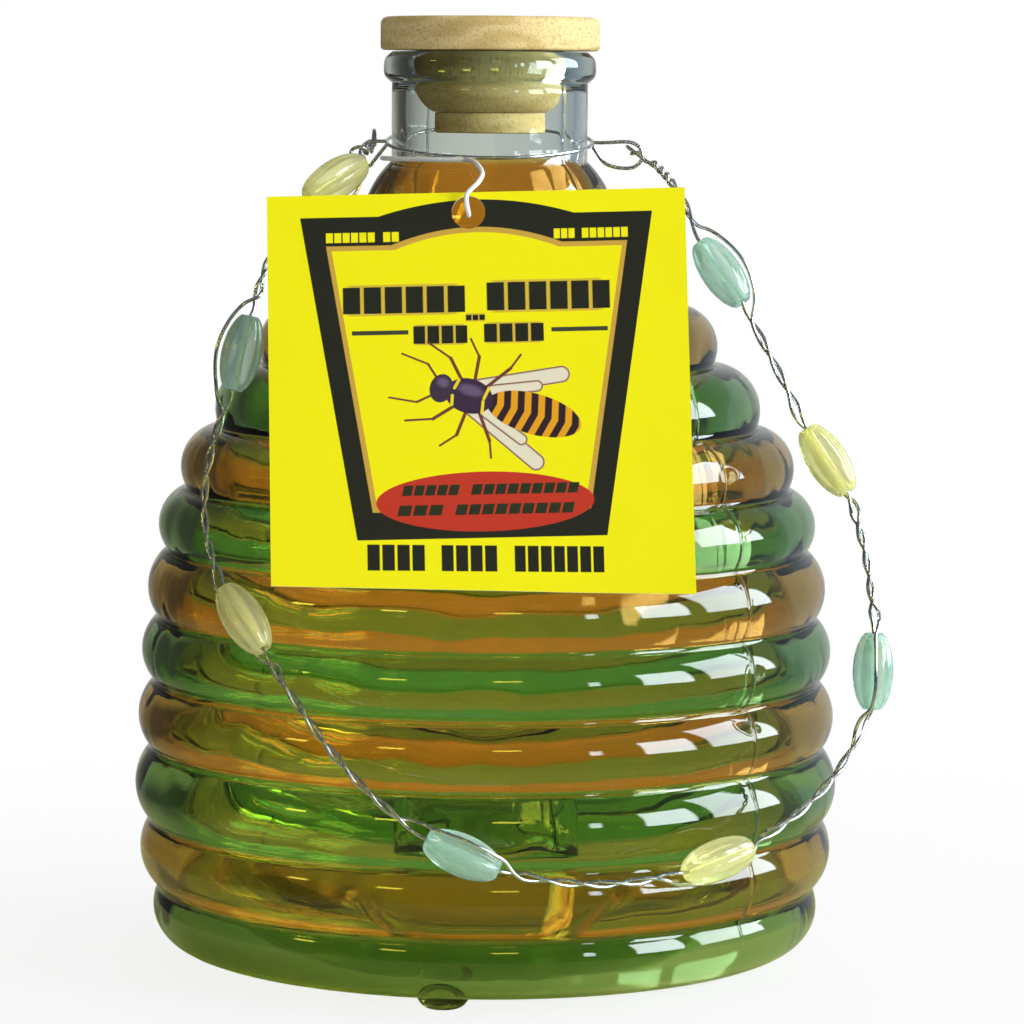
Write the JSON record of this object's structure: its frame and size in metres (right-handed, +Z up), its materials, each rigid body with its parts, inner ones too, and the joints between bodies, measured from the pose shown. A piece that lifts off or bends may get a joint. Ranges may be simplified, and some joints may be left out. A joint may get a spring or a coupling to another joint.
{
  "type": "wasp trap",
  "caption": "Beehive-shaped glass wasp trap with banded green and amber rings, base entry funnel, wooden stopper, beaded twisted-wire handle and card tag on a string.",
  "frame": {"origin": "middle of the stopper's flat top, on the jar's axis; the trap stands on its feet 0.200 m below", "axes": "+Z up along the jar's axis, -Y towards the front where the tag hangs, +X to the right of a viewer facing the front"},
  "size_m": [0.1577, 0.1592, 0.2],
  "materials": {
    "jar_glass": "clear mould-blown glass, rings alternately green and amber, clear neck",
    "stopper_wood": "turned pale hardwood, sanded, unvarnished",
    "wire_steel": "bright drawn wire",
    "bead_green": "translucent pale green, fluted",
    "bead_yellow": "translucent pale yellow, fluted",
    "tag_card": "printed coated card, satin",
    "nylon_string": "white nylon string",
    "packet_film": "crimped film sachet"
  },
  "bodies": {
    "jar": {"glass_jar": "jar_glass", "neck_wire": "wire_steel", "tag_string": "nylon_string"},
    "stopper": {"stopper_cap": "stopper_wood", "stopper_plug": "stopper_wood", "stopper_tip": "stopper_wood"},
    "handle": {"handle_wire_a": "wire_steel", "handle_wire_b": "wire_steel"},
    "string_drop": {"tag_string_drop": "nylon_string"},
    "tag": {"hang_tag": "tag_card"},
    "lure": {"lure_packet": "packet_film"},
    "bead_1": {"bead_1": "bead_yellow"},
    "bead_2": {"bead_2": "bead_green"},
    "bead_3": {"bead_3": "bead_yellow"},
    "bead_4": {"bead_4": "bead_green"},
    "bead_5": {"bead_5": "bead_yellow"},
    "bead_6": {"bead_6": "bead_green"},
    "bead_7": {"bead_7": "bead_yellow"},
    "bead_8": {"bead_8": "bead_green"}
  },
  "joints": [
    {"name": "stopper_lift", "type": "slide", "parent": "jar", "child": "stopper", "axis": [0, 0, 1], "range_m": [0, 0.05]},
    {"name": "handle_swing", "type": "hinge", "parent": "jar", "child": "handle", "pos_m": [0, 0, -0.0262], "axis": [-1, 0, 0], "range_deg": [0, 240]},
    {"name": "string_swing", "type": "hinge", "parent": "jar", "child": "string_drop", "pos_m": [-0.0048, -0.0224, -0.0297], "axis": [-1, 0, 0], "range_deg": [0, 40]},
    {"name": "tag_swing", "type": "hinge", "parent": "string_drop", "child": "tag", "pos_m": [-0.0038, -0.0526, -0.0397], "axis": [-0.9996, 0, -0.0288], "range_deg": [0, 80]},
    {"name": "lure_slide_round", "type": "hinge", "parent": "jar", "child": "lure", "pos_m": [0, 0, -0.19], "axis": [0, 0, 1], "continuous": true},
    {"name": "bead_1_spin", "type": "hinge", "parent": "handle", "child": "bead_1", "pos_m": [-0.0319, -0.0154, -0.0341], "axis": [-0.7273, -0.5051, -0.4647], "continuous": true},
    {"name": "bead_2_spin", "type": "hinge", "parent": "handle", "child": "bead_2", "pos_m": [-0.05, -0.0375, -0.069], "axis": [-0.2193, -0.1296, -0.967], "continuous": true},
    {"name": "bead_3_spin", "type": "hinge", "parent": "handle", "child": "bead_3", "pos_m": [-0.048, -0.0615, -0.1205], "axis": [0.5179, -0.3984, -0.757], "continuous": true},
    {"name": "bead_4_spin", "type": "hinge", "parent": "handle", "child": "bead_4", "pos_m": [-0.004, -0.0805, -0.1645], "axis": [0.9153, 0.0201, -0.4023], "continuous": true},
    {"name": "bead_5_spin", "type": "hinge", "parent": "handle", "child": "bead_5", "pos_m": [0.047, -0.0645, -0.168], "axis": [0.8559, 0.4478, 0.2587], "continuous": true},
    {"name": "bead_6_spin", "type": "hinge", "parent": "handle", "child": "bead_6", "pos_m": [0.079, -0.044, -0.1325], "axis": [0.02, 0.0499, 0.9986], "continuous": true},
    {"name": "bead_7_spin", "type": "hinge", "parent": "handle", "child": "bead_7", "pos_m": [0.0695, -0.0385, -0.09], "axis": [-0.541, 0.1803, 0.8215], "continuous": true},
    {"name": "bead_8_spin", "type": "hinge", "parent": "handle", "child": "bead_8", "pos_m": [0.048, -0.0275, -0.0523], "axis": [-0.5599, 0.2799, 0.7798], "continuous": true}
  ]
}
